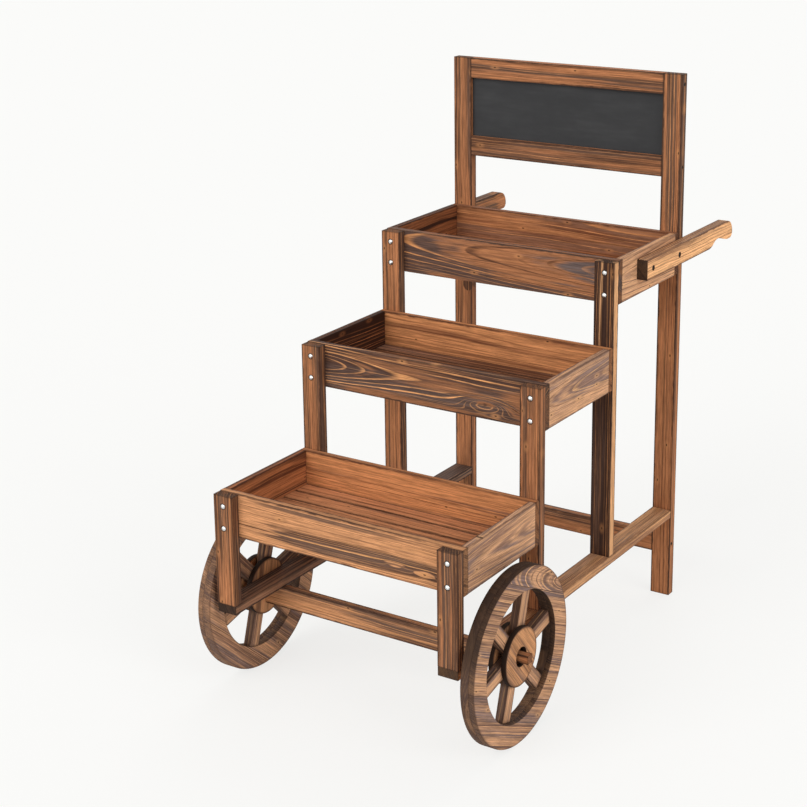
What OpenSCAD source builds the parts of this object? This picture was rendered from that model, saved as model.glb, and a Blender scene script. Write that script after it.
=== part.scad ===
// Three-tier wooden flower cart stand with a chalkboard, two push handles and two spoked wheels.
// X runs across the cart, Y runs to the rear and Z runs up from the floor.

/* [Stand] */
// Height of the rear posts
stand_height = 1016; // [930:0.1:1150]
// Width of every post and side rail, across the cart
post_width = 38.1; // [30:0.1:50]
// Thickness of every post, front to rear
post_thick = 18; // [15:0.1:28]
// Thickness of the side rails
rail_thick = 16; // [12:0.1:24]
// Drop of the post tops below the tray rims
post_drop = 1; // [0:0.1:6]
// Height of the rear crossbar
crossbar_height = 38; // [25:0.1:55]
// Thickness of the rear crossbar
crossbar_thick = 16; // [12:0.1:24]
// Underside of the rear crossbar above the floor
crossbar_lift = 86; // [30:0.1:120]

/* [Trays] */
// Clear width inside a tray
tray_inner_width = 457.2; // [400:0.1:560]
// Clear depth inside a tray, front to rear
tray_inner_depth = 215.9; // [170:0.1:280]
// Clear height from the slats to the rim
tray_inner_height = 63.5; // [45:0.1:85]
// Thickness of the tray panels
panel_thick = 12.7; // [9:0.1:18]
// Rim of the bottom tray above the floor
bottom_rim = 377; // [350:0.1:430]
// Rim of the middle tray above the floor
middle_rim = 572; // [530:0.1:620]
// Rim of the top tray above the floor
top_rim = 725; // [680:0.1:770]
// Number of floor slats in a tray
slat_count = 6; // [4:1:8]
// Thickness of a floor slat
slat_thick = 8; // [6:0.1:12]
// Gap between floor slats
slat_gap = 2.5; // [1:0.1:6]
// Gap around the whole slatted floor
floor_edge_gap = 0.5; // [0.2:0.1:2]
// Height of the cleats under the slats
cleat_height = 7.5; // [5:0.1:12]
// Width of the cleats under the slats
cleat_width = 15; // [10:0.1:24]

/* [Chalkboard] */
// Height of the board that shows between its rails
board_height = 114.3; // [80:0.1:150]
// Height of each board rail
board_rail_height = 38.1; // [28:0.1:50]
// Thickness of the board
board_thick = 4; // [3:0.1:6]
// Depth of the board's face behind the front of its frame
board_recess = 7.5; // [4:0.1:9]
// Depth of the groove that holds the board
groove_depth = 5; // [3:0.1:8]
// Clearance around the board in its groove
groove_clearance = 0.2; // [0.1:0.05:0.5]

/* [Handles] */
// Height of a handle
handle_height = 38; // [30:0.1:46]
// Thickness of a handle
handle_thick = 20; // [15:0.1:26]
// Front end of a handle behind the front of the top tray
handle_setback = 71; // [40:0.1:110]
// Top of a handle below the rim of the top tray
handle_below_rim = 12.7; // [5:0.1:30]
// Reach of a handle behind the rear posts
handle_reach = 182.8; // [150:0.1:240]
// Length of the grip's hollow ahead of its deepest place
grip_front_length = 40.5; // [30:0.1:60]
// Length of the grip's hollow from its deepest place to the knob
grip_rear_length = 50; // [35:0.1:70]
// Depth of the grip's hollow
grip_rise = 12.8; // [8:0.1:16]
// Length of the knob behind the hollow
knob_length = 16.5; // [12:0.1:24]
// Lift of the knob's underside above the handle's underside
knob_lift = 2.7; // [1:0.1:5]
// Radius of the knob's lower corner
knob_low_radius = 11; // [5:0.1:11]
// Radius of the knob's upper corner
knob_top_radius = 24; // [10:0.1:24]
// Radius of the corners at the handle's front end
handle_corner_radius = 3; // [1:0.1:8]

/* [Axle] */
// Axle centre behind the front face of the front legs
axle_setback = 140.5; // [110:0.1:180]
// Axle centre below the top of the axle beam
axle_below_top = 8.6; // [8:0.1:14]
// Height of the axle beam
beam_height = 38; // [28:0.1:50]
// Thickness of the axle beam
beam_thick = 15; // [14.5:0.1:24]
// Diameter of the turned journals on the beam
journal_diameter = 14; // [10:0.1:14.2]
// Radial clearance of a journal in its hub
journal_clearance = 0.08; // [0.03:0.01:0.1]
// Side play on each face of the inner hub
end_play = 0.35; // [0.2:0.05:1]
// Side of the square axle ends
axle_end_size = 14.5; // [12.5:0.1:17]
// Reach of an axle end beyond the wheel's outer face
axle_end_reach = 15.2; // [8:0.1:25]
// Diameter of the peg that holds an axle end
peg_diameter = 8; // [5:0.1:9]
// Length of the peg that holds an axle end
peg_length = 20; // [12:0.1:28]

/* [Wheels] */
// Diameter of a wheel
wheel_diameter = 304.8; // [270:0.1:340]
// Radial width of the wheel's ring
ring_width = 40.4; // [28:0.1:50]
// Number of spokes
spoke_count = 6; // [4:1:8]
// Width of a spoke
spoke_width = 25.4; // [18:0.1:30]
// Thickness of the spokes, and of the ring's inner layer beside them
spoke_thick = 15; // [10:0.1:18]
// Lean of the top spoke to the rear, in degrees
spoke_lean = 17; // [0:1:60]
// Thickness of the ring's outer layer, which stands proud of the spokes
outer_layer_thick = 10; // [9:0.1:16]
// Diameter of the hub discs
hub_diameter = 101.6; // [80:0.1:120]
// Thickness of the hub discs
hub_thick = 9; // [6:0.1:9]
// Diameter of the hole in the outer hub disc
hub_hole_diameter = 33; // [28:0.1:38]
// Gap between a side rail and the inner hub disc
wheel_gap = 1.6; // [1:0.1:8]

/* [Screws] */
// Diameter of the screw shanks
shank_diameter = 3.5; // [3:0.1:4.5]
// Radial clearance around a shank
shank_clearance = 0.1; // [0.05:0.05:0.3]
// Diameter of the domed heads
dome_diameter = 8.4; // [6:0.1:10]
// Height of the domed heads
dome_height = 2.4; // [1.5:0.1:3]
// Length of the post screws under the head
post_screw_length = 27; // [22:0.1:28]
// Upper post screw below the post top
upper_screw_drop = 19.3; // [12:0.1:28]
// Lower post screw below the post top
lower_screw_drop = 59.2; // [50:0.1:66]
// Least gap between a domed head and the tray rim or head below it
head_clearance = 1; // [0.5:0.1:4]
// Diameter of the sunk heads
sunk_diameter = 7; // [5:0.1:8]
// Thickness of the sunk heads
sunk_thick = 2; // [1:0.1:3]
// Depth of the sunk heads below the wood
sunk_depth = 1; // [0.4:0.1:2]
// Radial clearance around a sunk head
sunk_clearance = 0.3; // [0.1:0.1:0.6]
// Length of the handle screws under the head
handle_screw_length = 25; // [22:0.1:28]
// Front handle screw behind the handle's front end
handle_screw_setback = 25; // [12:0.1:40]
// Rear handle screw behind the front one
handle_screw_pitch = 109; // [60:0.1:120]
// Length of the screws through the rear posts
side_screw_length = 60; // [50:0.1:75]

/* [Hidden] */

// Gap left at a glued round seat
seat_gap = 0.1;
// Overrun of every cut past the face it leaves
overrun = 1;
// Slot width and depth of the drive in a domed head
drive_width = 0.9;
drive_depth = 0.9;
drive_length = 4.2;
// Overlap of the grip's curves with what they meet, so that they cross and don't only touch
curve_overlap = 0.1;
$fn = 96;

left = -1;
right = 1;

// Places across the cart
half_width = tray_inner_width / 2 + panel_thick;
post_inner_x = half_width - post_width;
post_mid_x = half_width - post_width / 2;
hub_in_x = half_width + wheel_gap;
spoke_in_x = hub_in_x + hub_thick;
spoke_out_x = spoke_in_x + spoke_thick;
ring_out_x = spoke_out_x + outer_layer_thick;
beam_half = hub_in_x - end_play;
axle_end_x = spoke_in_x + end_play;
axle_tip_x = ring_out_x + axle_end_reach;

// Places front to rear, the origin being the middle of the whole cart
wheel_radius = wheel_diameter / 2;
tray_outer_depth = tray_inner_depth + 2 * panel_thick;
tier_step = post_thick + tray_outer_depth;
front_overhang = max(0, wheel_radius - axle_setback);
overall_depth = front_overhang + 3 * tier_step + post_thick + handle_reach;
leg_front_y = front_overhang - overall_depth / 2;
function post_y(i) = leg_front_y + i * tier_step;
function tray_y(i) = post_y(i) + post_thick;
rear_y = post_y(3);
axle_y = leg_front_y + axle_setback;
handle_front_y = tray_y(2) + handle_setback;
handle_length = rear_y + post_thick + handle_reach - handle_front_y;

// Heights
rims = [bottom_rim, middle_rim, top_rim];
tray_height = tray_inner_height + slat_thick + cleat_height;
axle_z = wheel_radius;
beam_top = axle_z + axle_below_top;
rail_top = beam_top + rail_thick;
board_rail_low = stand_height - board_rail_height;
board_low = board_rail_low - board_height;
lower_rail_low = board_low - board_rail_height;
handle_z = top_rim - handle_below_rim - handle_height;
handle_mid_z = handle_z + handle_height / 2;

// Slats and spokes
slat_room = tray_inner_depth - 2 * floor_edge_gap;
slat_width = (slat_room - (slat_count - 1) * slat_gap) / slat_count;
ring_inner_radius = wheel_radius - ring_width;
spoke_start = spoke_width / 2 / tan(180 / spoke_count) + seat_gap;

// Screw places
// Both post screws of a tier stay above the rim of the tray in front
function rim_ahead(i) = i == 0 ? 0 : rims[i - 1];
function lower_screw_z(i) = max(rims[i] - post_drop - lower_screw_drop,
  rim_ahead(i) + head_clearance + dome_diameter / 2);
function upper_screw_z(i) = max(rims[i] - post_drop - upper_screw_drop,
  lower_screw_z(i) + head_clearance + dome_diameter);
handle_screw_ys = [handle_front_y + handle_screw_setback,
  handle_front_y + handle_screw_setback + handle_screw_pitch];
// Each rear post screw as its place front to rear and its height
side_screw_places = [
  [rear_y + post_thick / 2, board_rail_low + board_rail_height / 2],
  [rear_y + post_thick / 2, lower_rail_low + board_rail_height / 2],
  [rear_y + crossbar_thick / 2, crossbar_lift + crossbar_height / 2]
];

// A box between two opposite corners
module block(low, high) {
  translate(low) cube(high - low);
}

// Mirrors its children to the left side
module on_side(side) {
  mirror([side == left ? 1 : 0, 0, 0]) children();
}

// A round bar along X between two places
module bar_x(x_low, x_high, radius) {
  translate([x_low, 0, 0]) rotate([0, 90, 0]) cylinder(h = x_high - x_low, r = radius);
}

// Moves its children from the axle's centre line to its place
module at_axle() {
  translate([0, axle_y, axle_z]) children();
}

// Screws through the posts

// A domed screw with its head on the plane Y = 0 and its shank to the rear
module dome_screw() {
  ball = (dome_diameter * dome_diameter / 4 + dome_height * dome_height) / (2 * dome_height);
  difference() {
    intersection() {
      translate([0, ball - dome_height, 0]) sphere(r = ball);
      rotate([90, 0, 0]) cylinder(h = dome_height + overrun, d = dome_diameter);
    }
    for (turn = [0, 90]) {
      rotate([0, turn, 0]) block([-drive_length / 2, -dome_height - overrun, -drive_width / 2],
        [drive_length / 2, drive_depth - dome_height, drive_width / 2]);
    }
  }
  rotate([-90, 0, 0]) cylinder(h = post_screw_length, d = shank_diameter);
}

// Shank holes of the two screws in the front of a post, or the screws themselves
module at_post_screws(i) {
  for (z = [lower_screw_z(i), upper_screw_z(i)]) {
    translate([post_mid_x, post_y(i), z]) children();
  }
}

module post_screw_holes(i) {
  at_post_screws(i) rotate([-90, 0, 0]) translate([0, 0, -overrun])
    cylinder(h = post_screw_length + shank_clearance + overrun, r = shank_diameter / 2 + shank_clearance);
}

module post_screws() {
  color("silver") for (side = [left, right]) {
    for (i = [0, 1, 2]) {
      on_side(side) at_post_screws(i) dome_screw();
    }
  }
}

// Sunk screws, with the wood's face on the plane X = 0 and the shank towards -X
module sunk_screw(length) {
  rotate([0, -90, 0]) translate([0, 0, sunk_depth]) cylinder(h = sunk_thick, d = sunk_diameter);
  rotate([0, -90, 0]) translate([0, 0, sunk_depth]) cylinder(h = sunk_thick + length, d = shank_diameter);
}

module sunk_screw_hole(length) {
  rotate([0, -90, 0]) translate([0, 0, -overrun])
    cylinder(h = sunk_depth + sunk_thick + overrun, r = sunk_diameter / 2 + sunk_clearance);
  rotate([0, -90, 0]) cylinder(h = sunk_depth + sunk_thick + length + shank_clearance,
    r = shank_diameter / 2 + shank_clearance);
}

module at_handle_screws() {
  for (y = handle_screw_ys) {
    translate([half_width + handle_thick, y, handle_mid_z]) children();
  }
}

module at_side_screws() {
  for (place = side_screw_places) {
    translate([half_width, place[0], place[1]]) children();
  }
}

module handle_screws() {
  color("dimgray") for (side = [left, right]) {
    on_side(side) at_handle_screws() sunk_screw(handle_screw_length);
  }
}

module side_screws() {
  color("dimgray") for (side = [left, right]) {
    on_side(side) at_side_screws() sunk_screw(side_screw_length);
  }
}

// Posts, rails and crossbar

// The space of the board in its frame, with a margin all round
module board_space(margin) {
  block([-post_inner_x - groove_depth - margin, rear_y + board_recess - margin,
      board_low - groove_depth - margin],
    [post_inner_x + groove_depth + margin, rear_y + board_recess + board_thick + margin,
      board_rail_low + groove_depth + margin]);
}

module rear_post(side) {
  color("saddlebrown") on_side(side) difference() {
    block([post_inner_x, rear_y, 0], [half_width, rear_y + post_thick, stand_height]);
    board_space(groove_clearance);
    at_side_screws() sunk_screw_hole(side_screw_length);
  }
}

module tier_post(side, i) {
  color("saddlebrown") on_side(side) difference() {
    block([post_inner_x, post_y(i), rail_top], [half_width, post_y(i) + post_thick, rims[i] - post_drop]);
    post_screw_holes(i);
  }
}

module side_rail(side) {
  color("sienna") on_side(side)
    block([post_inner_x, leg_front_y, beam_top], [half_width, rear_y, rail_top]);
}

module rear_crossbar() {
  color("sienna") difference() {
    block([-post_inner_x, rear_y, crossbar_lift],
      [post_inner_x, rear_y + crossbar_thick, crossbar_lift + crossbar_height]);
    for (side = [left, right]) {
      on_side(side) at_side_screws() sunk_screw_hole(side_screw_length);
    }
  }
}

// Chalkboard and its two rails

module chalkboard() {
  color("darkslategray") board_space(0);
}

module board_rail(low) {
  color("peru") difference() {
    block([-post_inner_x, rear_y, low], [post_inner_x, rear_y + post_thick, low + board_rail_height]);
    board_space(groove_clearance);
    for (side = [left, right]) {
      on_side(side) at_side_screws() sunk_screw_hole(side_screw_length);
    }
  }
}

// Handles, drawn as a side view with Y along the handle and Z up

// The part of a square corner that a rounding takes away, the corner at the origin
module corner_waste(radius) {
  difference() {
    translate([-overrun, -overrun]) square(radius + overrun);
    translate([radius, radius]) circle(r = radius);
  }
}

// The area below an S-shaped rise from [-length, 0] to [0, rise], level at its upper end
module rise_waste(length, rise) {
  radius = (length * length + rise * rise) / (4 * rise);
  translate([0, -curve_overlap]) {
    difference() {
      translate([-length, -overrun]) square([length / 2, rise / 2 + 2 * overrun]);
      translate([-length, radius]) circle(r = radius);
    }
    intersection() {
      translate([-length, -overrun]) square([length, rise + 2 * overrun]);
      translate([0, rise - radius]) circle(r = radius + curve_overlap);
    }
  }
}

module handle_outline() {
  grip_middle = handle_length - knob_length - grip_rear_length;
  difference() {
    square([handle_length, handle_height]);
    translate([grip_middle, 0]) rise_waste(grip_front_length, grip_rise);
    translate([grip_middle, knob_lift]) mirror([1, 0]) rise_waste(grip_rear_length, grip_rise - knob_lift);
    translate([grip_middle, -overrun]) square([handle_length - grip_middle + overrun, knob_lift + overrun]);
    translate([handle_length, knob_lift]) mirror([1, 0]) corner_waste(knob_low_radius);
    translate([handle_length, handle_height]) mirror([1, 0]) mirror([0, 1]) corner_waste(knob_top_radius);
    corner_waste(handle_corner_radius);
    translate([0, handle_height]) mirror([0, 1]) corner_waste(handle_corner_radius);
  }
}

module handle(side) {
  color("peru") on_side(side) difference() {
    translate([half_width, handle_front_y, handle_z]) rotate([90, 0, 90])
      linear_extrude(height = handle_thick) handle_outline();
    at_handle_screws() sunk_screw_hole(handle_screw_length);
  }
}

// Trays, counted from the bottom one

// A front or rear panel, whose front face is at the given depth behind the tray's front
module long_panel(i, setback) {
  block([-half_width, tray_y(i) + setback, rims[i] - tray_height],
    [half_width, tray_y(i) + setback + panel_thick, rims[i]]);
}

module front_panel(i) {
  color("sienna") difference() {
    long_panel(i, 0);
    for (side = [left, right]) {
      on_side(side) post_screw_holes(i);
    }
  }
}

module rear_panel(i) {
  color("sienna") long_panel(i, tray_outer_depth - panel_thick);
}

module side_panel(side, i) {
  color("peru") on_side(side) difference() {
    block([half_width - panel_thick, tray_y(i) + panel_thick, rims[i] - tray_height],
      [half_width, tray_y(i) + tray_outer_depth - panel_thick, rims[i]]);
    at_handle_screws() sunk_screw_hole(handle_screw_length);
  }
}

module slats(i) {
  color("chocolate") for (row = [0 : slat_count - 1]) {
    translate([0, tray_y(i) + panel_thick + floor_edge_gap + row * (slat_width + slat_gap), 0])
      block([floor_edge_gap - tray_inner_width / 2, 0, rims[i] - tray_height + cleat_height],
        [tray_inner_width / 2 - floor_edge_gap, slat_width, rims[i] - tray_inner_height]);
  }
}

module cleats(i) {
  cleat_y = tray_y(i) + panel_thick;
  cleat_z = rims[i] - tray_height;
  color("saddlebrown") for (side = [left, right]) {
    on_side(side) block([tray_inner_width / 2 - cleat_width, cleat_y, cleat_z],
      [tray_inner_width / 2, cleat_y + tray_inner_depth, cleat_z + cleat_height]);
  }
}

// Axle

module axle_beam() {
  color("sienna") {
    block([-beam_half, axle_y - beam_thick / 2, beam_top - beam_height],
      [beam_half, axle_y + beam_thick / 2, beam_top]);
    at_axle() for (side = [left, right]) {
      on_side(side) bar_x(beam_half - overrun, axle_end_x, journal_diameter / 2);
      on_side(side) bar_x(beam_half - overrun, axle_end_x + peg_length, peg_diameter / 2);
    }
  }
}

module axle_ends() {
  color("peru") at_axle() for (side = [left, right]) {
    on_side(side) difference() {
      block([axle_end_x, -axle_end_size / 2, -axle_end_size / 2],
        [axle_tip_x, axle_end_size / 2, axle_end_size / 2]);
      bar_x(axle_end_x - overrun, axle_end_x + peg_length + seat_gap, peg_diameter / 2 + seat_gap);
    }
  }
}

// Wheels

module ring_layer(side, x_low, x_high) {
  color("sienna") at_axle() on_side(side) difference() {
    bar_x(x_low, x_high, wheel_radius);
    bar_x(x_low - overrun, x_high + overrun, ring_inner_radius);
  }
}

module spokes(side) {
  color("peru") at_axle() on_side(side) for (turn = [0 : spoke_count - 1]) {
    intersection() {
      rotate([turn * 360 / spoke_count - spoke_lean, 0, 0])
        block([spoke_in_x, -spoke_width / 2, spoke_start], [spoke_out_x, spoke_width / 2, wheel_radius]);
      bar_x(spoke_in_x - overrun, spoke_out_x + overrun, ring_inner_radius - seat_gap);
    }
  }
}

module hub_disc(side, x_low, hole_radius) {
  color("peru") at_axle() on_side(side) difference() {
    bar_x(x_low, x_low + hub_thick, hub_diameter / 2);
    bar_x(x_low - overrun, x_low + hub_thick + overrun, hole_radius);
  }
}

module hub_inner(side) {
  hub_disc(side, hub_in_x, journal_diameter / 2 + journal_clearance);
}

module hub_outer(side) {
  hub_disc(side, spoke_out_x, hub_hole_diameter / 2);
}

rear_post(left);  // rear_post_left
rear_post(right);  // rear_post_right
tier_post(left, 0);  // front_leg_left
tier_post(right, 0);  // front_leg_right
tier_post(left, 1);  // middle_post_left
tier_post(right, 1);  // middle_post_right
tier_post(left, 2);  // upper_post_left
tier_post(right, 2);  // upper_post_right
side_rail(left);  // side_rail_left
side_rail(right);  // side_rail_right
rear_crossbar();
axle_beam();
axle_ends();
handle(left);  // handle_left
handle(right);  // handle_right
chalkboard();
board_rail(board_rail_low);  // board_top_rail
board_rail(lower_rail_low);  // board_bottom_rail
front_panel(0);  // bottom_front_panel
rear_panel(0);  // bottom_rear_panel
side_panel(left, 0);  // bottom_left_panel
side_panel(right, 0);  // bottom_right_panel
slats(0);  // bottom_slats
cleats(0);  // bottom_cleats
front_panel(1);  // middle_front_panel
rear_panel(1);  // middle_rear_panel
side_panel(left, 1);  // middle_left_panel
side_panel(right, 1);  // middle_right_panel
slats(1);  // middle_slats
cleats(1);  // middle_cleats
front_panel(2);  // top_front_panel
rear_panel(2);  // top_rear_panel
side_panel(left, 2);  // top_left_panel
side_panel(right, 2);  // top_right_panel
slats(2);  // top_slats
cleats(2);  // top_cleats
post_screws();
handle_screws();
side_screws();
ring_layer(left, spoke_in_x, spoke_out_x);  // left_rim_inner
ring_layer(left, spoke_out_x, ring_out_x);  // left_rim_outer
spokes(left);  // left_spokes
hub_inner(left);  // left_hub_inner
hub_outer(left);  // left_hub_outer
ring_layer(right, spoke_in_x, spoke_out_x);  // right_rim_inner
ring_layer(right, spoke_out_x, ring_out_x);  // right_rim_outer
spokes(right);  // right_spokes
hub_inner(right);  // right_hub_inner
hub_outer(right);  // right_hub_outer
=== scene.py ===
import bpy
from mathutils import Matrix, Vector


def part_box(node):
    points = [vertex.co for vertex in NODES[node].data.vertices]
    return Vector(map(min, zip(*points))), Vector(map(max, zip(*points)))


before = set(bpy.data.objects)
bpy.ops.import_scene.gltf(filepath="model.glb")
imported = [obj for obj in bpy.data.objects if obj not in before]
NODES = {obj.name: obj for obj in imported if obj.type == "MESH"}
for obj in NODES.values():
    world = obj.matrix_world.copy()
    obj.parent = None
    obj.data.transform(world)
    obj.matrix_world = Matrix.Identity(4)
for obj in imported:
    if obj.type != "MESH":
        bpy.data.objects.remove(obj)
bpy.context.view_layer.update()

import math

import bpy
from mathutils import Matrix, Vector

MM = 0.001

# Sizes that the pieces' boxes don't tell. The six spokes start at FIRST_SPOKE degrees from Y towards Z, the
# seams lie that far from the wheel's middle, a screw shadow is the inner and outer radius of the painted
# shadow ring round a screw head, and the hub's grain is an angle like FIRST_SPOKE. Char fades from the first
# to the second size off an edge.
SPOKES = 6
FIRST_SPOKE = 13.0
SPOKE_WIDTH = 25.4 * MM
WHEEL_RADIUS = 152.4 * MM
RING_WIDTH = 40.4 * MM
HUB_RADIUS = 50.8 * MM
HUB_MOUTH = 16.5 * MM
HUB_BORE = 7.0 * MM
PLANK_WIDTH = 90.0 * MM
OUTER_SEAM = 112.6 * MM
INNER_SEAM = 70.0 * MM
SLATS = 6
SLAT_GAP = 2.5 * MM
CLEAT_WIDTH = 15.0 * MM
AXLE_END_LENGTH = 39.8 * MM
POST_SCREWS_BELOW_TOP = (19.3 * MM, 59.2 * MM)
POST_SCREW_SHADOW = (4.5 * MM, 6.3 * MM)
HANDLE_SCREWS_FROM_FRONT = (25.0 * MM, 134.0 * MM)
HANDLE_SCREW_SHADOW = (4.6 * MM, 5.9 * MM)
EASED_EDGE = 0.9 * MM
WORN_EDGE = 1.2 * MM
SHARP_EDGE = 0.3 * MM
RAGGED_EDGE = 6.0 * MM
CHARRED_END = (2.2 * MM, 0.5 * MM)
CHARRED_EDGE = (4.0 * MM, 0.8 * MM)
OUTER_HUB_GRAIN, INNER_HUB_GRAIN = -50.0, 80.0

# Looks that all pieces share
WOOD_RELIEF = 0.6
RELIEF_DEPTH = 0.8 * MM
WOOD_SHINE = 0.14
PAPER = (0.947, 0.947, 0.930)
FLOOR_HALF = 30.0

# The camera at the photograph's viewing angle

VIEW_PLACE = (1.60388, -2.68918, 1.52058)
VIEW_YAW, VIEW_PITCH, VIEW_ROLL = 0.588558, 0.267492, -0.0142249
VIEW_LENS, FILM_WIDTH = 80.979, 36.0
VIEW_SHIFT = (0.01121, -0.14733)


def place_camera():
    yaw, pitch, roll = VIEW_YAW, VIEW_PITCH, VIEW_ROLL
    ahead = Vector((-math.sin(yaw) * math.cos(pitch), math.cos(yaw) * math.cos(pitch), -math.sin(pitch)))
    level = Vector((math.cos(yaw), math.sin(yaw), 0))
    above = level.cross(ahead)
    right = level * math.cos(roll) + above * math.sin(roll)
    up = above * math.cos(roll) - level * math.sin(roll)
    data = bpy.data.cameras.new("photo_view")
    data.sensor_width = FILM_WIDTH
    data.lens = VIEW_LENS
    data.shift_x, data.shift_y = VIEW_SHIFT
    data.clip_end = 100
    camera = bpy.data.objects.new("photo_view", data)
    bpy.context.scene.collection.objects.link(camera)
    turn = Matrix((right, up, -ahead)).transposed().to_4x4()
    camera.matrix_world = Matrix.Translation(VIEW_PLACE) @ turn
    bpy.context.scene.camera = camera


# Shader node helpers


def put(tree, kind, inputs=None, **settings):
    """Adds a node. Its inputs are given as sockets to link or as plain values."""
    node = tree.nodes.new(kind)
    for key, value in settings.items():
        setattr(node, key, value)
    for key, value in (inputs or {}).items():
        if isinstance(value, bpy.types.NodeSocket):
            tree.links.new(value, node.inputs[key])
        else:
            node.inputs[key].default_value = value
    return node


def calc(tree, operation, *terms):
    return put(tree, "ShaderNodeMath", dict(enumerate(terms)), operation=operation).outputs[0]


def times(tree, one, other):
    return calc(tree, "MULTIPLY", one, other)


def less(tree, whole, taken):
    return calc(tree, "SUBTRACT", whole, taken)


def larger(tree, one, other):
    return calc(tree, "MAXIMUM", one, other)


def swing(tree, value, strength):
    """A value round 0.5 as a swing round zero of this strength."""
    return times(tree, less(tree, value, 0.5), strength)


def total(tree, first, *others):
    for other in others:
        first = calc(tree, "ADD", first, other)
    return first


def vector(tree, x=0.0, y=0.0, z=0.0):
    return put(tree, "ShaderNodeCombineXYZ", {0: x, 1: y, 2: z}).outputs[0]


def parts(tree, socket):
    return put(tree, "ShaderNodeSeparateXYZ", {0: socket}).outputs


def vcalc(tree, operation, *terms):
    node = put(tree, "ShaderNodeVectorMath", dict(enumerate(terms)), operation=operation)
    return node.outputs["Value" if operation == "LENGTH" else "Vector"]


def fade(tree, value, low, high, start=0.0, end=1.0):
    """A smooth step from start to end as the value goes from low to high."""
    limits = {0: value, 1: low, 2: high, 3: start, 4: end}
    return put(tree, "ShaderNodeMapRange", limits, interpolation_type="SMOOTHSTEP").outputs[0]


def grains(tree, place, stretch, detail=2.0, rough=0.5):
    """Noise whose cells are 1/stretch long on each axis; about 0.5 on average."""
    spread = vcalc(tree, "MULTIPLY", place, stretch)
    settings = {"Vector": spread, "Scale": 1.0, "Detail": detail, "Roughness": rough}
    return put(tree, "ShaderNodeTexNoise", settings)


def tint(tree, share, under, over, mode="MIX"):
    """This share of one colour laid over another."""
    node = put(tree, "ShaderNodeMix", {0: share, 6: under, 7: over}, data_type="RGBA", blend_type=mode)
    return node.outputs[2]


def new_group(name, inputs, outputs):
    """A node group; returns the tree, its input sockets and its output node."""
    tree = bpy.data.node_groups.new(name, "ShaderNodeTree")
    kinds = {"f": "NodeSocketFloat", "v": "NodeSocketVector", "c": "NodeSocketColor"}
    for label, kind in inputs:
        tree.interface.new_socket(label, in_out="INPUT", socket_type=kinds[kind])
    for label, kind in outputs:
        tree.interface.new_socket(label, in_out="OUTPUT", socket_type=kinds[kind])
    given = tree.nodes.new("NodeGroupInput").outputs
    return tree, given, tree.nodes.new("NodeGroupOutput")


def use_group(tree, group, inputs):
    return put(tree, "ShaderNodeGroup", inputs, node_tree=group).outputs


def feed(tree, node, outputs):
    """Links each named result to the input of that name."""
    for label, socket in outputs.items():
        tree.links.new(socket, node.inputs[label])


# Node groups that every wood shares. Board places are in metres from the board's middle: X along the grain,
# Y across its face, Z through it.


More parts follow.
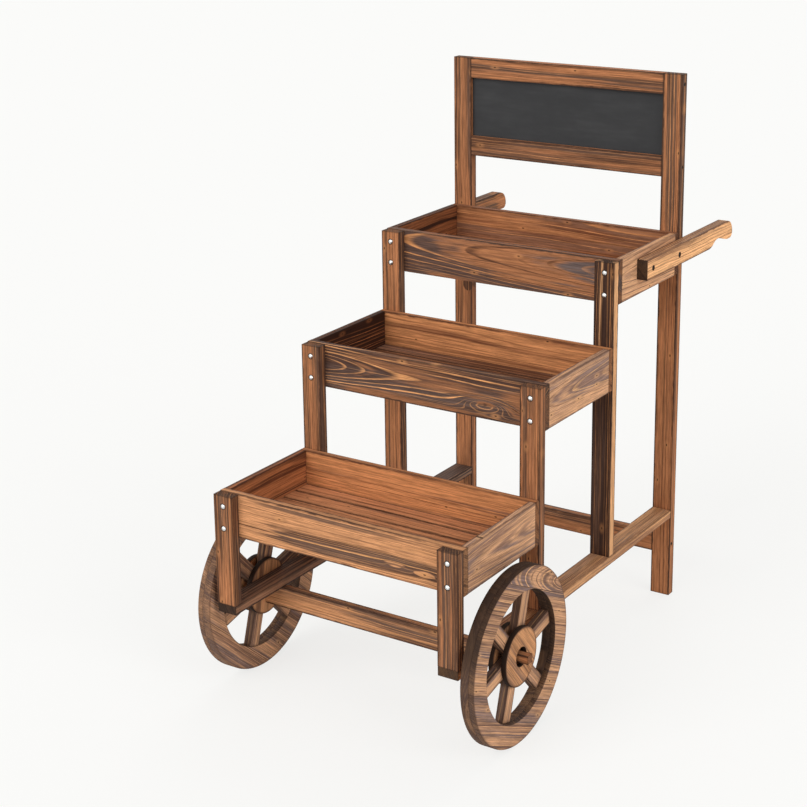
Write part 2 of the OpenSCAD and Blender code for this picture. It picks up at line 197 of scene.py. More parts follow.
def make_ring_group():
    """Growth rings round a pith line, with up to two eyes where a branch pushed them aside."""
    tree, given, out = new_group("growth_rings", [
        ("Place", "v"), ("Seed", "f"), ("Lean", "f"), ("Slope", "f"), ("Pith Y", "f"), ("Pith Z", "f"),
        ("Ring", "f"), ("Wander", "f"), ("Eye 1", "v"), ("Eye 1 Size", "f"), ("Eye 1 Lift", "f"),
        ("Eye 2", "v"), ("Eye 2 Size", "f"), ("Eye 2 Lift", "f")],
        [("Line", "f"), ("Band", "f"), ("Fibre", "f"), ("Knot", "f")])
    place, seed = given["Place"], given["Seed"]
    apart = vector(tree, times(tree, seed, 3.7), times(tree, seed, 1.9), times(tree, seed, 2.3))
    shifted = vcalc(tree, "ADD", place, apart)
    x, y, z = parts(tree, place)
    sway = grains(tree, shifted, (3.6, 14.0, 14.0), detail=1.0)
    sway_y, sway_z, _ = parts(tree, vcalc(tree, "SUBTRACT", sway.outputs["Color"], (0.5, 0.5, 0.5)))
    ripple = grains(tree, shifted, (22.0, 90.0, 90.0), detail=2.0).outputs[0]
    from_y = total(tree, less(tree, y, given["Pith Y"]), times(tree, sway_y, given["Wander"]),
                   swing(tree, ripple, 0.0018), times(tree, x, given["Slope"]))
    from_z = total(tree, less(tree, z, given["Pith Z"]), times(tree, sway_z, given["Wander"]),
                   times(tree, x, given["Lean"]))
    radius = vcalc(tree, "LENGTH", vector(tree, from_y, from_z))
    knot = 0.0
    for n in (1, 2):
        size = given[f"Eye {n} Size"]
        away = vcalc(tree, "MULTIPLY", vcalc(tree, "SUBTRACT", place, given[f"Eye {n}"]), (0.27, 1.0, 0.0))
        reach = calc(tree, "DIVIDE", vcalc(tree, "LENGTH", away), size)
        swell = calc(tree, "POWER", math.e, times(tree, times(tree, reach, reach), -1.0))
        radius = total(tree, radius, times(tree, swell, given[f"Eye {n} Lift"]))
        core = vcalc(tree, "MULTIPLY", vcalc(tree, "SUBTRACT", place, given[f"Eye {n}"]), (0.8, 1.0, 0.0))
        spot = fade(tree, calc(tree, "DIVIDE", vcalc(tree, "LENGTH", core), size), 0.30, 0.10)
        strong = fade(tree, given[f"Eye {n} Lift"], 0.004, 0.016)
        knot = larger(tree, knot, times(tree, spot, strong))
    drift = put(tree, "ShaderNodeTexNoise", {"W": total(tree, radius, seed), "Scale": 55.0, "Detail": 1.0},
                noise_dimensions="1D")
    phase = total(tree, calc(tree, "DIVIDE", radius, given["Ring"]), times(tree, drift.outputs[0], 2.6))
    part = calc(tree, "FRACT", phase)
    line = times(tree, fade(tree, part, 0.70, 0.90), fade(tree, part, 1.0, 0.95))
    year = put(tree, "ShaderNodeTexWhiteNoise", {"W": total(tree, calc(tree, "FLOOR", phase), seed)},
               noise_dimensions="1D")
    weight = fade(tree, year.outputs["Value"], 0.1, 0.9, 0.30, 1.0)
    worn = fade(tree, ripple, 0.32, 0.58, 0.6, 1.0)
    band_place = calc(tree, "MULTIPLY_ADD", seed, 5.3, radius)
    band = put(tree, "ShaderNodeTexNoise", {"W": band_place, "Scale": 105.0, "Detail": 2.0, "Roughness": 0.6},
               noise_dimensions="1D")
    fibre = grains(tree, shifted, (20.0, 480.0, 480.0), detail=4.0, rough=0.75)
    line = times(tree, times(tree, line, weight), worn)
    feed(tree, out, {"Line": line, "Band": band.outputs[0], "Fibre": fibre.outputs[0], "Knot": knot})
    return tree


def make_edge_group():
    """How near a point is to a board's ends and long edges, and whether it lies on a narrow side."""
    tree, given, out = new_group("board_edges", [("Place", "v"), ("Half", "v"), ("Seed", "f")],
                                 [("End", "f"), ("Edge", "f"), ("Side", "f")])
    inside = vcalc(tree, "SUBTRACT", given["Half"], vcalc(tree, "ABSOLUTE", given["Place"]))
    along, across, through = parts(tree, inside)
    shifted = vcalc(tree, "ADD", given["Place"], vector(tree, given["Seed"]))
    ragged = grains(tree, shifted, (60.0, 260.0, 260.0), detail=3.0)
    jitter = swing(tree, ragged.outputs[0], RAGGED_EDGE)
    end = fade(tree, total(tree, along, times(tree, jitter, 0.4)), *CHARRED_END)
    nearest = total(tree, larger(tree, across, through), jitter)
    edge = fade(tree, nearest, *CHARRED_EDGE)
    side = fade(tree, less(tree, across, through), SHARP_EDGE, -SHARP_EDGE)
    feed(tree, out, {"End": end, "Edge": edge, "Side": side})
    return tree


def make_finish_group():
    """Torch-burnt and brushed softwood: colour, roughness and relief from rings, fibre and burnt edges."""
    tree, given, out = new_group("burnt_softwood", [
        ("Place", "v"), ("Seed", "f"), ("Line", "f"), ("Band", "f"), ("Fibre", "f"), ("Knot", "f"),
        ("Scorch", "f"), ("Burnt Edge", "f"), ("Burnt End", "f"), ("Pale Wood", "c"), ("Ember Wood", "c"),
        ("Char", "c"), ("Smoke", "c"), ("Glow Line", "c"), ("End Char", "c")],
        [("Color", "c"), ("Roughness", "f"), ("Height", "f")])
    seed, line, fibre = given["Seed"], given["Line"], given["Fibre"]
    apart = vector(tree, times(tree, seed, 2.9), times(tree, seed, 4.3), seed)
    shifted = vcalc(tree, "ADD", given["Place"], apart)
    cloud = grains(tree, shifted, (2.6, 19.0, 19.0), detail=2.0, rough=0.5).outputs[0]
    streak = grains(tree, shifted, (4.0, 170.0, 170.0), detail=3.0, rough=0.62).outputs[0]
    hair = grains(tree, shifted, (3.4, 340.0, 340.0), detail=2.0, rough=0.6).outputs[0]
    mood = grains(tree, shifted, (3.0, 36.0, 36.0), detail=2.0)
    banded = less(tree, given["Band"], 0.5)
    smear = swing(tree, streak, 0.42)
    drawn = swing(tree, cloud, 0.80)
    burnt = fade(tree, total(tree, drawn, given["Scorch"], banded, smear), 0.40, 0.62)
    pale = tint(tree, line, given["Pale Wood"], given["Ember Wood"])
    sooty = tint(tree, fade(tree, mood.outputs[0], 0.42, 0.62), given["Char"], given["Smoke"])
    colour = tint(tree, burnt, pale, tint(tree, line, sooty, given["Glow Line"]))
    broad = fade(tree, streak, 0.28, 0.72, 0.86, 1.14)
    fine = fade(tree, fibre, 0.34, 0.67, 0.70, 1.30)
    shade = times(tree, broad, fine)
    colour = tint(tree, 1.0, colour, vector(tree, shade, shade, shade), "MULTIPLY")
    cracked = fade(tree, hair, 0.385, 0.29, 0.0, 0.50)
    colour = tint(tree, cracked, colour, tint(tree, 0.5, given["Char"], given["End Char"]))
    raised = fade(tree, hair, 0.60, 0.72, 0.0, 0.40)
    colour = tint(tree, raised, colour, given["Glow Line"])
    pin_cells = vcalc(tree, "MULTIPLY", shifted, (11.0, 24.0, 1.0))
    pins = put(tree, "ShaderNodeTexVoronoi", {"Vector": pin_cells, "Scale": 1.0}, voronoi_dimensions="2D")
    rare = fade(tree, parts(tree, pins.outputs["Color"])[0], 0.60, 0.62)
    pin = times(tree, fade(tree, pins.outputs["Distance"], 0.036, 0.020), rare)
    halo = times(tree, fade(tree, pins.outputs["Distance"], 0.16, 0.04), rare)
    colour = tint(tree, times(tree, halo, 0.35), colour, given["Glow Line"])
    rim = times(tree, given["Burnt Edge"], fade(tree, mood.outputs[0], 0.32, 0.56, 0.42, 1.0))
    mark = larger(tree, rim, times(tree, given["Knot"], 0.55))
    sooty_edge = tint(tree, 0.45, given["Char"], given["End Char"])
    colour = tint(tree, mark, colour, sooty_edge)
    black = larger(tree, given["Burnt End"], times(tree, pin, 0.85))
    colour = tint(tree, black, colour, given["End Char"])
    rough = total(tree, 0.58, times(tree, fibre, 0.22), times(tree, line, -0.10), times(tree, black, 0.12))
    height = total(tree, times(tree, line, 0.55), times(tree, fibre, 0.40), times(tree, cracked, -0.7),
                   times(tree, mark, -0.3))
    feed(tree, out, {"Color": colour, "Roughness": rough, "Height": height})
    return tree


RINGS = make_ring_group()
EDGES = make_edge_group()
FINISH = make_finish_group()

# Five colours make a wood: its pale face, the reddish lines there, its char, the smoky grey of some char,
# and the lines that stay light in the char
TONES = {
    "posts": ((0.43, 0.172, 0.072), (0.080, 0.030, 0.014), (0.100, 0.043, 0.023),
              (0.120, 0.062, 0.039), (0.60, 0.262, 0.100)),
    "dark_post": ((0.72, 0.375, 0.175), (0.22, 0.095, 0.045), (0.042, 0.019, 0.012),
                  (0.065, 0.034, 0.024), (0.50, 0.215, 0.080)),
    "bottom_front": ((0.60, 0.280, 0.126), (0.15, 0.060, 0.028), (0.115, 0.054, 0.032),
                     (0.145, 0.080, 0.054), (0.72, 0.340, 0.13)),
    "middle_front": ((0.32, 0.136, 0.062), (0.09, 0.036, 0.019), (0.076, 0.039, 0.028),
                     (0.108, 0.068, 0.055), (0.88, 0.405, 0.155)),
    "top_front": ((0.38, 0.154, 0.066), (0.12, 0.047, 0.023), (0.108, 0.060, 0.045),
                  (0.136, 0.097, 0.088), (0.70, 0.300, 0.11)),
    "inside": ((0.60, 0.248, 0.098), (0.16, 0.053, 0.021), (0.19, 0.067, 0.029),
               (0.23, 0.106, 0.060), (0.62, 0.255, 0.095)),
    "floor": ((0.55, 0.232, 0.106), (0.09, 0.032, 0.016), (0.10, 0.038, 0.019),
              (0.17, 0.090, 0.060), (0.54, 0.228, 0.100)),
    "warm_inside": ((0.40, 0.142, 0.054), (0.13, 0.042, 0.017), (0.110, 0.034, 0.014),
                    (0.100, 0.036, 0.017), (0.46, 0.170, 0.064)),
    # The left rail's darker, greyer tone: partly char, partly painted shade from the tray above it
    "dark_rail_and_shade": ((0.30, 0.150, 0.084), (0.10, 0.047, 0.028), (0.060, 0.034, 0.025),
                   (0.090, 0.056, 0.044), (0.32, 0.165, 0.090)),
    "dark_inside": ((0.26, 0.088, 0.033), (0.07, 0.022, 0.009), (0.026, 0.008, 0.004),
                    (0.050, 0.017, 0.008), (0.36, 0.125, 0.045)),
    # The right panels' pale, greyed tone: partly the wood's own, partly a painted sheen on their lit outer
    # faces
    "pale_wood_and_sheen": ((0.66, 0.355, 0.190), (0.17, 0.080, 0.048), (0.29, 0.157, 0.103),
              (0.25, 0.157, 0.126), (0.84, 0.450, 0.200)),
    "wheel": ((0.60, 0.322, 0.174), (0.11, 0.054, 0.034), (0.19, 0.101, 0.068),
              (0.20, 0.128, 0.110), (0.80, 0.430, 0.200)),
    "hub": ((0.56, 0.270, 0.122), (0.24, 0.105, 0.048), (0.20, 0.090, 0.046),
            (0.26, 0.135, 0.080), (0.66, 0.325, 0.130)),
    "handle": ((0.86, 0.455, 0.210), (0.26, 0.112, 0.050), (0.26, 0.121, 0.065),
               (0.30, 0.176, 0.115), (0.90, 0.470, 0.190)),
    "honey": ((0.70, 0.360, 0.165), (0.24, 0.103, 0.046), (0.27, 0.126, 0.068),
              (0.34, 0.200, 0.128), (0.84, 0.430, 0.160)),
}
END_CHAR = (0.026, 0.014, 0.009)
NO_EYE = ((9.0, 9.0, 0.0), 0.01, 0.0)

# How a board was cut from the log: lean of the pith into it and slope across it, the pith's place across and
# behind the face, the width of a year's ring and how far the rings wander
CUTS = {
    "straight": (0.006, 0.0, 0.110, 0.060, 0.0044, 0.008),
    "rift": (0.010, 0.0, 0.050, 0.060, 0.0046, 0.010),
    "flat": (0.060, 0.0, 0.004, 0.030, 0.0050, 0.010),
    "fine": (0.006, 0.0, 0.120, 0.050, 0.0036, 0.006),
}


def new_material(name):
    material = bpy.data.materials.new(name)
    material.use_nodes = True
    tree = material.node_tree
    tree.nodes.clear()
    shader = put(tree, "ShaderNodeBsdfPrincipled")
    result = put(tree, "ShaderNodeOutputMaterial")
    tree.links.new(shader.outputs[0], result.inputs[0])
    return material, tree, shader


def object_place(tree):
    return put(tree, "ShaderNodeTexCoord").outputs["Object"]


def relief(tree, height, strength, depth):
    return put(tree, "ShaderNodeBump", {"Height": height, "Strength": strength, "Distance": depth}).outputs[0]


def board_place(tree, node, along):
    """Board place and half sizes of a node that is one straight board."""
    low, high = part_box(node)
    size = high - low
    axes = sorted("XYZ", key=lambda a: -size["XYZ".index(a)])
    axes.remove(along)
    order = ["XYZ".index(a) for a in (along, *axes)]
    moved = parts(tree, vcalc(tree, "SUBTRACT", object_place(tree), tuple((low + high) / 2)))
    return vector(tree, *[moved[i] for i in order]), tuple(size[i] / 2 for i in order)


def dress(tree, shader, place, seed, tones, cut, scorch, edge, end, eyes=(), side=None, side_scorch=0.0):
    """Joins the wood groups and links them to the shader. Scorch goes from 0, unburnt, to 1, all char."""
    cut_inputs = dict(zip(("Lean", "Slope", "Pith Y", "Pith Z", "Ring", "Wander"), CUTS.get(cut, cut)))
    ring_inputs = {"Place": place, "Seed": seed, **cut_inputs}
    for n, (spot, size, lift) in enumerate((*eyes, NO_EYE, NO_EYE)[:2], 1):
        ring_inputs.update({f"Eye {n}": spot, f"Eye {n} Size": size, f"Eye {n} Lift": lift})
    rings = use_group(tree, RINGS, ring_inputs)
    if side is not None:
        scorch = total(tree, times(tree, side, side_scorch), scorch)
    pale, ember, char, smoke, glow = (c + (1.0,) for c in TONES[tones])
    finish = use_group(tree, FINISH, {
        "Place": place, "Seed": seed, "Line": rings["Line"], "Band": rings["Band"], "Fibre": rings["Fibre"],
        "Knot": rings["Knot"], "Scorch": scorch, "Burnt Edge": edge, "Burnt End": end, "Pale Wood": pale,
        "Ember Wood": ember, "Char": char, "Smoke": smoke, "Glow Line": glow, "End Char": END_CHAR + (1.0,)})
    normal = relief(tree, finish["Height"], WOOD_RELIEF, RELIEF_DEPTH)
    feed(tree, shader, {"Base Color": finish["Color"], "Roughness": finish["Roughness"], "Normal": normal})
    shader.inputs["Specular IOR Level"].default_value = WOOD_SHINE


def patched_scorch(tree, place, scorch, patches):
    """Scorch that grows or fades round given places: along, across, reach along, reach across, change."""
    for along, across, long, wide, change in patches:
        away = vcalc(tree, "SUBTRACT", place, (along, across, 0.0))
        away = vcalc(tree, "MULTIPLY", away, (1 / long, 1 / wide, 0.0))
        spread = fade(tree, vcalc(tree, "LENGTH", away), 1.15, 0.35, 0.0, change)
        scorch = total(tree, scorch, spread)
    return scorch


def painted_screw_shadow(tree, place, spots, inner, outer):
    """A painted shadow ring on the wood round each of these places along and across it, where a screw head
    sits.
    """
    mark = 0.0
    for along, across in spots:
        away = vcalc(tree, "SUBTRACT", place, (along, across, 0.0))
        away = vcalc(tree, "MULTIPLY", away, (1.0, 1.0, 0.0))
        mark = larger(tree, mark, fade(tree, vcalc(tree, "LENGTH", away), outer, inner))
    return mark


def board_wood(node, along, seed, tones, cut, scorch, eyes=(), side_scorch=0.0, spots=(), screw_shadow_ring=None,
               end_char=0.6, patches=()):
    """One straight board, with painted shadow rings round the screw spots and burnt edges and ends."""
    material, tree, shader = new_material("wood_" + node)
    place, half = board_place(tree, node, along)
    scorch = patched_scorch(tree, place, scorch, patches)
    near = use_group(tree, EDGES, {"Place": place, "Half": half, "Seed": seed})
    end = times(tree, near["End"], end_char)
    # A painted shadow ring round each screw head, drawn in the end char colour
    if spots:
        end = larger(tree, end, painted_screw_shadow(tree, place, spots, *screw_shadow_ring))
    dress(tree, shader, place, seed, tones, cut, scorch, near["Edge"], end, eyes,
          side=near["Side"], side_scorch=side_scorch)
    finish_node(node, material)


def finish_node(node, material):
    """Gives every face of a CAD node this material."""
    slots = NODES[node].material_slots
    for slot in slots:
        slot.material = material
    if not slots:
        NODES[node].data.materials.append(material)


# Several boards in one node


def slat_wood(node, count, gap, seed, tones, scorch):
    """Boards side by side along Y, each with rings of its own."""
    material, tree, shader = new_material("wood_" + node)
    low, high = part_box(node)
    pitch = (high.y - low.y + gap) / count
    x, y, z = parts(tree, object_place(tree))
    steps = calc(tree, "DIVIDE", less(tree, y, low.y - gap / 2), pitch)
    number = calc(tree, "FLOOR", steps)
    own_y = times(tree, less(tree, calc(tree, "FRACT", steps), 0.5), pitch)
    place = vector(tree, less(tree, x, (low.x + high.x) / 2), own_y, less(tree, z, (low.z + high.z) / 2))
    own_seed = total(tree, times(tree, number, 1.618), seed)
    half = ((high.x - low.x) / 2, (pitch - gap) / 2, (high.z - low.z) / 2)
    near = use_group(tree, EDGES, {"Place": place, "Half": half, "Seed": own_seed})
    end = times(tree, near["End"], 0.6)
    dress(tree, shader, place, own_seed, tones, "rift", scorch, near["Edge"], end)
    finish_node(node, material)


def mirrored_wood(node, along, reach, seed, tones, scorch):
    """Two equal boards, one each side of X = 0, along X or Y. Each reaches this far along X."""
    material, tree, shader = new_material("wood_" + node)
    low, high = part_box(node)
    half_x, half_y, half_z = reach / 2, (high.y - low.y) / 2, (high.z - low.z) / 2
    half = (half_x, half_y, half_z) if along == "X" else (half_y, half_x, half_z)
    x, y, z = parts(tree, object_place(tree))
    own_x = less(tree, calc(tree, "ABSOLUTE", x), high.x - half_x)
    own_y = less(tree, y, (low.y + high.y) / 2)
    own_z = less(tree, z, (low.z + high.z) / 2)
    place = vector(tree, own_x, own_y, own_z) if along == "X" else vector(tree, own_y, own_x, own_z)
    own_seed = total(tree, calc(tree, "SIGN", x), seed)
    near = use_group(tree, EDGES, {"Place": place, "Half": half, "Seed": own_seed})
    end = times(tree, near["End"], 0.5)
    dress(tree, shader, place, own_seed, tones, "fine", scorch, near["Edge"], end)
    finish_node(node, material)


# Wheels


def wheel_place(tree, axle):
    """Place in the wheel along X, Y and Z from its middle, and the distance from its axis."""
    moved = vcalc(tree, "SUBTRACT", object_place(tree), tuple(axle))
    x, y, z = parts(tree, moved)
    return x, y, z, vcalc(tree, "LENGTH", vector(tree, y, z))


def turned(tree, y, z, degrees):
    """The parts of a place along and across a grain that runs at this angle from Y towards Z."""
    c, s = math.cos(math.radians(degrees)), math.sin(math.radians(degrees))
    along = total(tree, times(tree, y, c), times(tree, z, s))
    across = total(tree, times(tree, z, c), times(tree, y, -s))
    return along, across


def ring_wood(node, axle, seed, scorch, degrees, seam_at, tread_char_and_shade):
    """A ring sawn from planks glued edge to edge: flat-sawn above the top seam, fine-grained below it."""
    material, tree, shader = new_material("wood_" + node)
    low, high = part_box(node)
    outer = (high.z - low.z) / 2
    inner = outer - RING_WIDTH
    x, y, z, radius = wheel_place(tree, axle)
    along, across = turned(tree, y, z, degrees)
    steps = calc(tree, "DIVIDE", total(tree, across, 2 * PLANK_WIDTH - seam_at), PLANK_WIDTH)
    number = calc(tree, "FLOOR", steps)
    own_across = times(tree, less(tree, calc(tree, "FRACT", steps), 0.5), PLANK_WIDTH)
    own_x = less(tree, x, (low.x + high.x) / 2 - axle.x)
    place = vector(tree, along, own_across, own_x)
    own_seed = total(tree, times(tree, number, 2.37), seed)
    top_plank = calc(tree, "GREATER_THAN", steps, 2.0)
    lean = total(tree, 0.010, times(tree, top_plank, 0.22))
    pith_across = total(tree, 0.13, times(tree, top_plank, -0.155))
    ring_width = total(tree, 0.0040, times(tree, top_plank, 0.0008))
    own_scorch = total(tree, scorch, times(tree, top_plank, 0.10))
    from_seam = less(tree, PLANK_WIDTH / 2, calc(tree, "ABSOLUTE", own_across))
    seam = fade(tree, from_seam, 1.1 * MM, SHARP_EDGE)
    bore = fade(tree, less(tree, radius, inner), WORN_EDGE, SHARP_EDGE)
    tread = fade(tree, less(tree, outer, radius), WORN_EDGE, SHARP_EDGE)
    rim = fade(tree, less(tree, outer, radius), 4.5 * MM, 1.0 * MM)
    edge = larger(tree, larger(tree, seam, times(tree, rim, 0.6)), times(tree, tread, 0.45))
    # Tread and bore get darker higher up: partly char, partly painted shade from the tray above and inside
    # the ring
    charred = fade(tree, z, *TREAD_SHADE_HEIGHTS, *tread_char_and_shade)
    bore_char_and_shade = fade(tree, z, *BORE_SHADE_HEIGHTS, *BORE_CHAR_AND_SHADE)
    burnt = larger(tree, times(tree, bore, bore_char_and_shade), times(tree, tread, charred))
    cut = (lean, 0.0, pith_across, 0.030, ring_width, 0.009)
    dress(tree, shader, place, own_seed, "wheel", cut, own_scorch, edge, burnt)
    finish_node(node, material)


def hub_wood(node, axle, seed, scorch, degrees, hole):
    """A disc from one plank, charred round its rim and its hole."""
    material, tree, shader = new_material("wood_" + node)
    low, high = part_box(node)
    outer = (high.z - low.z) / 2
    x, y, z, radius = wheel_place(tree, axle)
    along, across = turned(tree, y, z, degrees)
    place = vector(tree, along, across, less(tree, x, (low.x + high.x) / 2 - axle.x))
    rim = fade(tree, less(tree, outer, radius), WORN_EDGE, SHARP_EDGE)
    mouth = fade(tree, less(tree, radius, hole), WORN_EDGE, SHARP_EDGE)
    border = fade(tree, less(tree, outer, radius), 5.0 * MM, 1.0 * MM)
    dress(tree, shader, place, seed, "hub", "rift", scorch, border, larger(tree, rim, mouth))
    finish_node(node, material)


def spoke_wood(node, axle, seed, scorch):
    """Six boards that run out from the hub, each with rings of its own, darker on their sides."""
    material, tree, shader = new_material("wood_" + node)
    low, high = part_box(node)
    x, y, z, radius = wheel_place(tree, axle)
    turn = calc(tree, "ARCTAN2", z, y)
    sixth = math.tau / SPOKES
    steps = calc(tree, "DIVIDE", total(tree, turn, sixth / 2 - math.radians(FIRST_SPOKE)), sixth)
    number = calc(tree, "FLOOR", steps)
    off = times(tree, less(tree, calc(tree, "FRACT", steps), 0.5), sixth)
    along = times(tree, radius, calc(tree, "COSINE", off))
    across = times(tree, radius, calc(tree, "SINE", off))
    place = vector(tree, along, across, less(tree, x, (low.x + high.x) / 2 - axle.x))
    own_seed = total(tree, times(tree, number, 1.37), seed)
    half = (WHEEL_RADIUS, SPOKE_WIDTH / 2, (high.x - low.x) / 2)
    near = use_group(tree, EDGES, {"Place": place, "Half": half, "Seed": own_seed})
    ring_start = WHEEL_RADIUS - RING_WIDTH
    near_ring = fade(tree, radius, ring_start - 6.0 * MM, ring_start, 0.0, 0.7)
    near_hub = fade(tree, radius, HUB_RADIUS + 6.0 * MM, HUB_RADIUS, 0.0, 0.6)
    edge = larger(tree, near["Edge"], larger(tree, near_ring, near_hub))
    dress(tree, shader, place, own_seed, "wheel", "rift", scorch, edge, times(tree, near["Side"], 0.45),
          side=near["Side"], side_scorch=0.35)
    finish_node(node, material)


# Metal and chalkboard


def screw_metal(node, colour, rough):
    """Plated steel with fine scratches and a dull film in places."""
    material, tree, shader = new_material("metal_" + node)
    place = object_place(tree)
    film = grains(tree, place, (900.0, 900.0, 900.0), detail=3.0, rough=0.6).outputs[0]
    dull = tuple(c * 0.72 for c in colour)
    plated = tint(tree, fade(tree, film, 0.40, 0.70), colour + (1.0,), dull + (1.0,))
    roughness = fade(tree, film, 0.35, 0.75, rough, rough + 0.2)
    normal = relief(tree, film, 0.15, 0.1 * MM)
    feed(tree, shader, {"Base Color": plated, "Roughness": roughness, "Normal": normal})
    shader.inputs["Metallic"].default_value = 1.0
    finish_node(node, material)


def chalk_face(node):
    """Matt black paint with the faint haze of wiped chalk."""
    material, tree, shader = new_material("chalkboard_paint")
    place = object_place(tree)
    haze = grains(tree, place, (9.0, 9.0, 22.0), detail=3.0, rough=0.6).outputs[0]
    wiped = grains(tree, place, (14.0, 14.0, 160.0), detail=2.0).outputs[0]
    grit = grains(tree, place, (1500.0, 1500.0, 1500.0), detail=1.0).outputs[0]
    film = times(tree, fade(tree, haze, 0.35, 0.75), fade(tree, wiped, 0.2, 0.9, 0.4, 1.0))
    colour = tint(tree, film, (0.034, 0.034, 0.0355, 1.0), (0.052, 0.052, 0.0535, 1.0))
    roughness = fade(tree, grit, 0.2, 0.8, 0.72, 0.90)
    normal = relief(tree, grit, 0.2, 0.1 * MM)
    feed(tree, shader, {"Base Color": colour, "Roughness": roughness, "Normal": normal})
    shader.inputs["Specular IOR Level"].default_value = 0.25
    finish_node(node, material)


# The cart's own woods


def finish_posts():
    board_wood("rear_post_left", "Z", 1.3, "posts", "rift", 0.46,
               patches=((0.056, 0.010, 0.014, 0.011, 0.80),))
    board_wood("rear_post_right", "Z", 2.6, "posts", "straight", 0.42,
               patches=((0.40, 0.0, 0.26, 0.08, 0.34), (-0.20, 0.0, 0.34, 0.08, -0.18)))
    # For each lower post: seed, tones, scorch of its face and how much more or less its sides are scorched.
    # The extra on the left posts' sides is partly char and partly painted shade, for their corner beside the
    # panels; the upper right post's much lighter side is partly its own paler wood and partly painted light.
    lower_posts = {
        "front_leg_left": (3.1, "posts", 0.51, 0.35), "front_leg_right": (4.7, "posts", 0.68, 0.0),
        "middle_post_left": (5.2, "posts", 0.55, 0.35), "middle_post_right": (6.8, "posts", 0.46, 0.0),
        "upper_post_left": (7.4, "posts", 0.42, 0.35), "upper_post_right": (9.0, "dark_post", 0.80, -0.75),
    }
    for name, (seed, tones, scorch, side_scorch) in lower_posts.items():
        low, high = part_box(name)
        spots = [((high.z - low.z) / 2 - drop, 0.0) for drop in POST_SCREWS_BELOW_TOP]
        board_wood(name, "Z", seed, tones, "straight", scorch, side_scorch=side_scorch, spots=spots,
                   screw_shadow_ring=POST_SCREW_SHADOW)


def finish_rails():
    # The left rail's darker tone is partly painted shade from the tray above
    board_wood("side_rail_left", "Y", 9.5, "dark_rail_and_shade", "straight", 0.62, end_char=0.9)
    board_wood("side_rail_right", "Y", 10.2, "honey", "straight", 0.54, end_char=0.9)
    board_wood("rear_crossbar", "X", 11.7, "posts", "straight", 0.48)
    board_wood("axle_beam", "X", 12.4, "bottom_front", "straight", 0.46)
    board_wood("board_top_rail", "X", 13.9, "posts", "rift", 0.44)
    board_wood("board_bottom_rail", "X", 14.6, "posts", "straight", 0.50)
    for side, seed, tones, scorch in (("left", 15.3, "posts", 0.52), ("right", 16.1, "handle", 0.44)):
        low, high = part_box("handle_" + side)
        spots = [(from_front - (high.y - low.y) / 2, 0.0) for from_front in HANDLE_SCREWS_FROM_FRONT]
        # The patch lessens the scorch round the handle's rear end: a painted highlight where light falls on
        # the knob
        board_wood("handle_" + side, "Y", seed, tones, "rift", scorch, side_scorch=0.3, spots=spots,
                   screw_shadow_ring=HANDLE_SCREW_SHADOW, end_char=0.95, patches=((0.215, 0.0, 0.070, 0.060, -0.60),))


# The three front panels, which show the most. An eye is its place, size and lift, and a patch its place along
# and across, its reach along and across, and the change of the scorch there.
FRONTS = {
    "bottom": {
        "tones": "bottom_front", "scorch": 0.37, "seed": 21.0,
        "cut": (0.004, 0.0, 0.100, 0.045, 0.0044, 0.005),
        "eyes": (((0.112, -0.015, 0.0), 0.006, 0.006), ((0.166, -0.018, 0.0), 0.007, 0.006)),
        "patches": ((-0.215, -0.010, 0.080, 0.060, -0.20), (0.060, -0.016, 0.190, 0.017, 1.10),
                    (0.100, -0.036, 0.260, 0.009, -0.42), (0.112, -0.015, 0.036, 0.007, -1.20),
                    (0.166, -0.018, 0.032, 0.007, -1.20))},
    "middle": {
        "tones": "middle_front", "scorch": 0.74, "seed": 22.3,
        "cut": (0.016, 0.02, 0.006, 0.018, 0.0048, 0.005),
        "eyes": (((0.126, -0.0145, 0.0), 0.013, 0.022), ((-0.245, -0.003, 0.0), 0.040, -0.022)),
        "patches": ((-0.210, 0.000, 0.080, 0.060, 0.14), (-0.050, -0.034, 0.200, 0.010, -0.30),
                    (0.126, -0.0145, 0.020, 0.006, -0.45), (0.060, -0.002, 0.120, 0.012, -0.12),
                    (0.222, 0.000, 0.070, 0.060, -0.16))},
    "top": {
        "tones": "top_front", "scorch": 0.50, "seed": 23.8,
        "cut": (0.050, 0.02, 0.020, 0.036, 0.0050, 0.006),
        "eyes": (),
        "patches": ((-0.215, -0.005, 0.090, 0.060, 0.40), (-0.120, -0.020, 0.130, 0.016, 0.22),
                    (0.040, 0.004, 0.160, 0.024, -0.20), (0.100, -0.034, 0.180, 0.010, 0.15))},
}

# The scorch of each tray's other boards, and the tones of its left panel
TRAYS = {
    "bottom": {"rear": 0.42, "left": 0.50, "right": 0.52, "slats": 0.30, "left_tones": "warm_inside"},
    "middle": {"rear": 0.40, "left": 0.76, "right": 0.54, "slats": 0.76, "left_tones": "dark_inside"},
    "top": {"rear": 0.66, "left": 0.50, "right": 0.42, "slats": 0.54, "left_tones": "dark_inside"},
}


def finish_trays():
    for tier, front in FRONTS.items():
        tray = TRAYS[tier]
        seed = front["seed"]
        board_wood(f"{tier}_front_panel", "X", seed, front["tones"], front["cut"], front["scorch"],
                   front["eyes"], patches=front["patches"])
        board_wood(f"{tier}_rear_panel", "X", seed + 3.3, "inside", "rift", tray["rear"])
        board_wood(f"{tier}_left_panel", "Y", seed + 5.1, tray["left_tones"], "rift", tray["left"])
        # The right panels' pale tone is partly painted sheen
        board_wood(f"{tier}_right_panel", "Y", seed + 7.7, "pale_wood_and_sheen", "flat", tray["right"])
        slat_wood(f"{tier}_slats", SLATS, SLAT_GAP, seed + 9.2, "floor", tray["slats"])
        mirrored_wood(f"{tier}_cleats", "Y", CLEAT_WIDTH, seed + 11.5, "posts", 0.5)


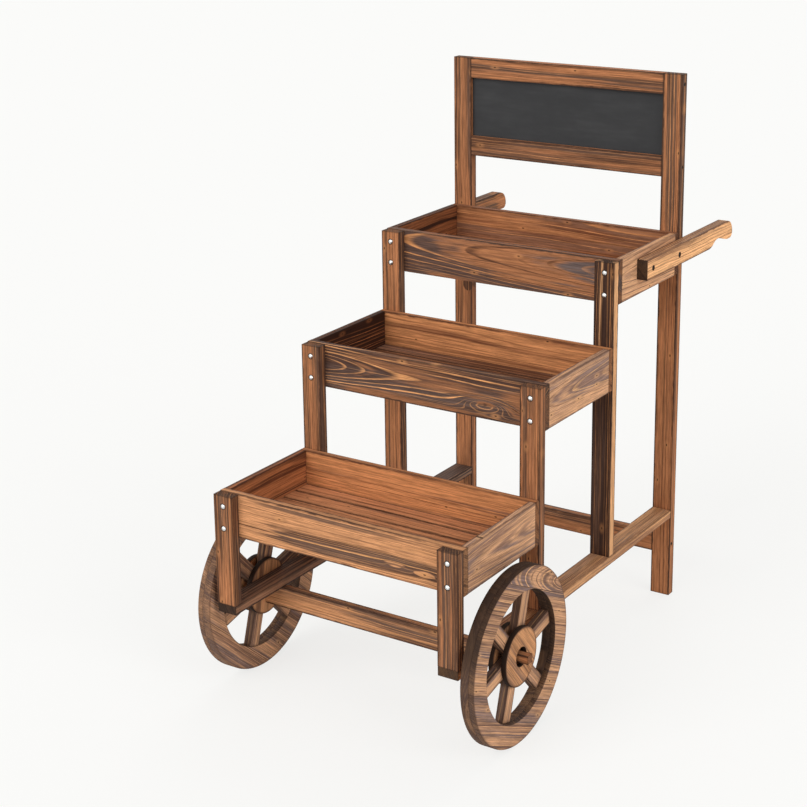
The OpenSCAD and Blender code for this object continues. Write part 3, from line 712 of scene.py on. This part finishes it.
# For each wheel: seed, the grain's angle in its outer and inner layer, and how dark its tread is below and
# above
# TREAD_SHADE_HEIGHTS, two heights from the axle: partly char, and the extra dark higher up is painted shade
# from the tray above. BORE_CHAR_AND_SHADE says the same of both rings' insides, where the darker upper part
# is painted shade.
TREAD_SHADE_HEIGHTS = (5.0 * MM, 65.0 * MM)
BORE_SHADE_HEIGHTS = (-85.0 * MM, -20.0 * MM)
BORE_CHAR_AND_SHADE = (0.74, 0.91)
WHEELS = {"right": (40.0, -25.8, 62.0, (0.55, 0.90)), "left": (50.0, -25.8, -41.0, (0.20, 0.26))}


def finish_wheels():
    low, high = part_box("right_rim_outer")
    axle_y, axle_z = (low.y + high.y) / 2, (low.z + high.z) / 2
    for side, (seed, outer_grain, inner_grain, tread_char_and_shade) in WHEELS.items():
        axle = Vector((sum(corner.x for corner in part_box(f"{side}_spokes")) / 2, axle_y, axle_z))
        ring_wood(f"{side}_rim_outer", axle, seed + 1.2, 0.53, outer_grain, OUTER_SEAM, tread_char_and_shade)
        ring_wood(f"{side}_rim_inner", axle, seed + 3.4, 0.55, inner_grain, INNER_SEAM, tread_char_and_shade)
        spoke_wood(f"{side}_spokes", axle, seed + 5.6, 0.44)
        hub_wood(f"{side}_hub_outer", axle, seed + 7.8, 0.52, OUTER_HUB_GRAIN, HUB_MOUTH)
        hub_wood(f"{side}_hub_inner", axle, seed + 9.1, 0.46, INNER_HUB_GRAIN, HUB_BORE)
    mirrored_wood("axle_ends", "X", AXLE_END_LENGTH, 61.0, "posts", 0.38)


def finish_metal_and_board():
    screw_metal("post_screws", (0.80, 0.80, 0.79), 0.30)
    screw_metal("handle_screws", (0.05, 0.045, 0.04), 0.6)
    screw_metal("side_screws", (0.05, 0.045, 0.04), 0.6)
    chalk_face("chalkboard")


# Eased edges


def ease_edges():
    """Rounds the sawn edges of every wooden piece a little."""
    for name, piece in NODES.items():
        if "screws" in name or name == "chalkboard":
            continue
        weld = piece.modifiers.new("weld", "WELD")
        weld.merge_threshold = 1e-6
        merge = piece.modifiers.new("flat_faces", "DECIMATE")
        merge.decimate_type = "DISSOLVE"
        merge.angle_limit = math.radians(0.2)
        bevel = piece.modifiers.new("eased_edges", "BEVEL")
        bevel.width = EASED_EDGE
        bevel.segments = 2
        bevel.limit_method = "ANGLE"
        bevel.angle_limit = math.radians(40)
        bevel.harden_normals = True


# Floor and light


def seen_directly(tree):
    """1 where the camera, a reflection or glass looks straight at this."""
    path = put(tree, "ShaderNodeLightPath").outputs
    seen = larger(tree, path["Is Camera Ray"], path["Is Glossy Ray"])
    return larger(tree, seen, path["Is Transmission Ray"])


def make_world(level):
    world = bpy.data.worlds.new("studio")
    bpy.context.scene.world = world
    world.use_nodes = True
    tree = world.node_tree
    tree.nodes.clear()
    shown = put(tree, "ShaderNodeBackground", {"Color": PAPER + (1.0,), "Strength": 1.0})
    light = put(tree, "ShaderNodeBackground", {"Color": (1.0, 1.0, 1.0, 1.0), "Strength": level})
    mix = put(tree, "ShaderNodeMixShader", {0: seen_directly(tree), 1: light.outputs[0], 2: shown.outputs[0]})
    out = put(tree, "ShaderNodeOutputWorld")
    tree.links.new(mix.outputs[0], out.inputs[0])


def make_floor(colour, shown_share):
    """A pale floor that the camera sees almost white, with the cart's soft shadow."""
    mesh = bpy.data.meshes.new("floor")
    far = FLOOR_HALF
    mesh.from_pydata([(-far, -far, 0), (far, -far, 0), (far, far, 0), (-far, far, 0)], [], [(0, 1, 2, 3)])
    floor = bpy.data.objects.new("floor", mesh)
    bpy.context.scene.collection.objects.link(floor)
    material, tree, shader = new_material("paper_floor")
    shader.inputs["Base Color"].default_value = colour + (1.0,)
    shader.inputs["Roughness"].default_value = 1.0
    shader.inputs["Specular IOR Level"].default_value = 0.0
    white = put(tree, "ShaderNodeEmission", {"Color": (1.0, 1.0, 0.985, 1.0), "Strength": 1.0})
    share = times(tree, seen_directly(tree), shown_share)
    mix = put(tree, "ShaderNodeMixShader", {0: share, 1: shader.outputs[0], 2: white.outputs[0]})
    result = next(node for node in tree.nodes if node.type == "OUTPUT_MATERIAL")
    tree.links.new(mix.outputs[0], result.inputs[0])
    mesh.materials.append(material)


def add_sun(name, azimuth, elevation, strength, spread):
    """Azimuth 0 shines from the front, 90 from the cart's right."""
    data = bpy.data.lights.new(name, "SUN")
    data.energy = strength
    data.angle = math.radians(spread)
    lamp = bpy.data.objects.new(name, data)
    bpy.context.scene.collection.objects.link(lamp)
    a, e = math.radians(azimuth), math.radians(elevation)
    source = Vector((math.sin(a) * math.cos(e), -math.cos(a) * math.cos(e), math.sin(e)))
    lamp.matrix_world = source.to_track_quat("Z", "Y").to_matrix().to_4x4()


def light_studio():
    make_world(0.46)
    make_floor((0.86, 0.86, 0.845), 0.75)
    add_sun("front_softbox", -15, 30, 1.64, 45)
    add_sun("side_softbox", 78, 26, 1.20, 40)
    add_sun("rear_softbox", 190, 38, 0.55, 50)
    bpy.context.scene.view_settings.view_transform = "Standard"


place_camera()
finish_posts()
finish_rails()
finish_trays()
finish_wheels()
finish_metal_and_board()
ease_edges()
light_studio()
